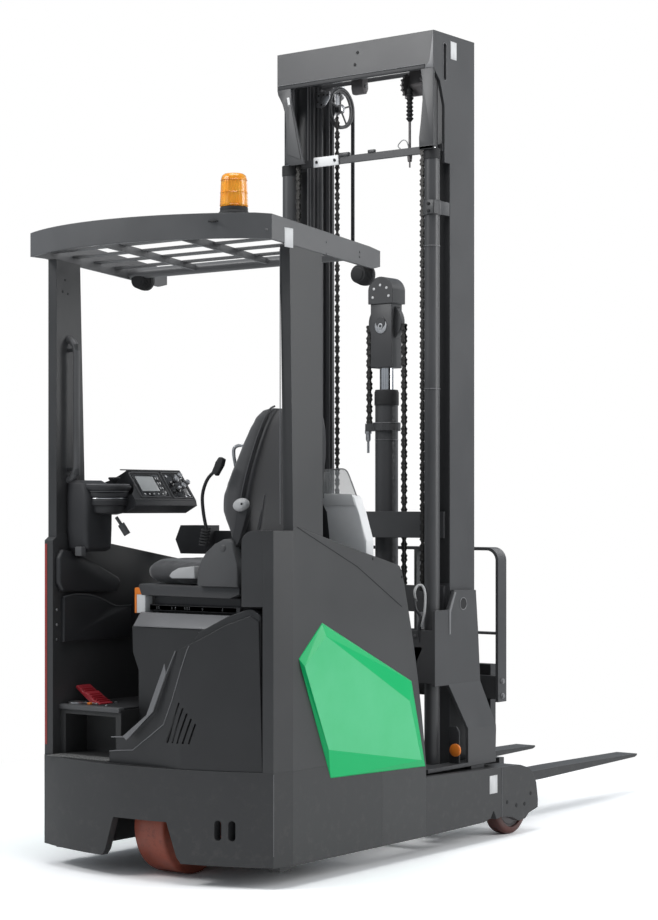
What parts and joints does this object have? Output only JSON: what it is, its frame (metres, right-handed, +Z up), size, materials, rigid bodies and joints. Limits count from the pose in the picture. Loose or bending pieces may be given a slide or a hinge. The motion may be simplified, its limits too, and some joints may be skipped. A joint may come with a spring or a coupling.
{
  "type": "reach truck",
  "caption": "Rider reach truck with a cross seat, curved tail, overhead guard, nested mast on a reach carriage, tilting forks and faceted green side pods.",
  "frame": {"origin": "centre of the truck's plan box on the floor, with the mast reached out and the forks slightly raised", "axes": "+Z up, +Y forwards to the fork tips, +X to the truck's right"},
  "size_m": [1.03, 3.0099, 3.035],
  "materials": {
    "chassis_paint": "satin",
    "body_paint": "satin",
    "mast_paint": "satin",
    "guard_paint": "satin",
    "pod_paint": "gloss",
    "cover_plastic": "satin",
    "trim_plastic": "matte",
    "battery_case": "satin",
    "step_steel": "matte",
    "pedal_red": "satin",
    "seat_foam": "matte",
    "seat_steel": "satin",
    "beacon_amber": "gloss",
    "cast_iron": "satin",
    "tyre_urethane": "satin",
    "rod_chrome": "polished",
    "fork_steel": "satin",
    "chain_steel": "satin"
  },
  "bodies": {
    "chassis": {"base_frame": "chassis_paint", "reach_barrel": "mast_paint", "side_wall_right": "body_paint", "side_wall_left": "body_paint", "side_pods": "pod_paint", "straddle_leg_right": "chassis_paint", "straddle_leg_left": "chassis_paint", "seat_hood": "cover_plastic", "rear_door": "cover_plastic", "battery": "battery_case", "foot_step": "step_steel", "accelerator_pedal": "pedal_red", "seat_cushion": "seat_foam", "seat_backrest": "seat_foam", "seat_shell": "trim_plastic", "seat_suspension": "seat_steel", "steering_console": "trim_plastic", "control_panel": "trim_plastic", "guard_roof": "guard_paint", "guard_post_right": "guard_paint", "guard_post_left": "guard_paint", "beacon_base": "trim_plastic", "beacon_lens": "beacon_amber", "armrest": "trim_plastic", "work_lamps": "trim_plastic"},
    "drive_turret_body": {"drive_turret": "cast_iron"},
    "drive_wheel": {"drive_tyre": "tyre_urethane", "drive_hub": "cast_iron"},
    "load_wheel_right": {"load_tyre_right": "tyre_urethane", "load_hub_right": "cast_iron"},
    "load_wheel_left": {"load_tyre_left": "tyre_urethane", "load_hub_left": "cast_iron"},
    "hand_wheel": {"steering_wheel": "trim_plastic"},
    "reach_carriage": {"reach_carriage_frame": "mast_paint", "reach_rod": "rod_chrome", "outer_mast_frame": "mast_paint", "lift_barrels": "mast_paint", "main_lift_chains": "chain_steel"},
    "middle_stage": {"middle_mast_frame": "mast_paint", "lift_rods": "rod_chrome"},
    "inner_stage": {"inner_mast_frame": "mast_paint", "free_lift_barrel": "mast_paint", "hose_pulley": "cast_iron", "free_lift_chain_rising": "chain_steel"},
    "free_lift_head": {"crosshead": "mast_paint"},
    "fork_truck": {"fork_carriage_frame": "mast_paint", "carriage_rollers": "cast_iron", "free_lift_chain_falling": "chain_steel"},
    "fork_frame_body": {"fork_frame": "mast_paint", "fork_right": "fork_steel", "fork_left": "fork_steel", "load_backrest": "mast_paint"},
    "tilt_rams": {"tilt_rods": "rod_chrome"}
  },
  "joints": [
    {"name": "steer", "type": "hinge", "parent": "chassis", "child": "drive_turret_body", "pos_m": [0, -1.173, 0.1715], "axis": [0, 0, 1], "range_deg": [-90, 90]},
    {"name": "drive_spin", "type": "hinge", "parent": "drive_turret_body", "child": "drive_wheel", "pos_m": [0, -1.173, 0.1715], "axis": [1, 0, 0], "continuous": true},
    {"name": "load_spin_right", "type": "hinge", "parent": "chassis", "child": "load_wheel_right", "pos_m": [0.434, 0.23, 0.115], "axis": [1, 0, 0], "continuous": true},
    {"name": "load_spin_left", "type": "hinge", "parent": "chassis", "child": "load_wheel_left", "pos_m": [-0.434, 0.23, 0.115], "axis": [1, 0, 0], "continuous": true},
    {"name": "hand_steer", "type": "hinge", "parent": "chassis", "child": "hand_wheel", "pos_m": [-0.36, -1.167, 1.325], "axis": [0, 0, 1], "continuous": true},
    {"name": "reach", "type": "slide", "parent": "chassis", "child": "reach_carriage", "axis": [0, 1, 0], "range_m": [-0.45, 0]},
    {"name": "main_lift", "type": "slide", "parent": "reach_carriage", "child": "middle_stage", "axis": [0, 0, 1], "range_m": [0, 2.2], "deforming": ["main_lift_chains"]},
    {"name": "inner_lift", "type": "slide", "parent": "middle_stage", "child": "inner_stage", "axis": [0, 0, 1], "range_m": [0, 2.2]},
    {"name": "free_lift", "type": "slide", "parent": "inner_stage", "child": "free_lift_head", "axis": [0, 0, 1], "range_m": [-0.055, 0.8], "deforming": ["free_lift_chain_rising"]},
    {"name": "fork_lift", "type": "slide", "parent": "free_lift_head", "child": "fork_truck", "axis": [0, 0, 1], "range_m": [-0.055, 0.8], "deforming": ["free_lift_chain_falling"]},
    {"name": "fork_tilt", "type": "hinge", "parent": "fork_truck", "child": "fork_frame_body", "pos_m": [0, 0.256, 0.56], "axis": [1, 0, 0], "range_deg": [-2, 4]},
    {"name": "tilt_stroke", "type": "slide", "parent": "fork_truck", "child": "tilt_rams", "axis": [0, 1, 0], "range_m": [-0.0116, 0.0232]}
  ],
  "couplings": [
    {"joint": "inner_lift", "follows": "main_lift", "ratio": 1},
    {"joint": "fork_lift", "follows": "free_lift", "ratio": 1},
    {"joint": "tilt_stroke", "follows": "fork_tilt", "m_per_rad": 0.328}
  ]
}
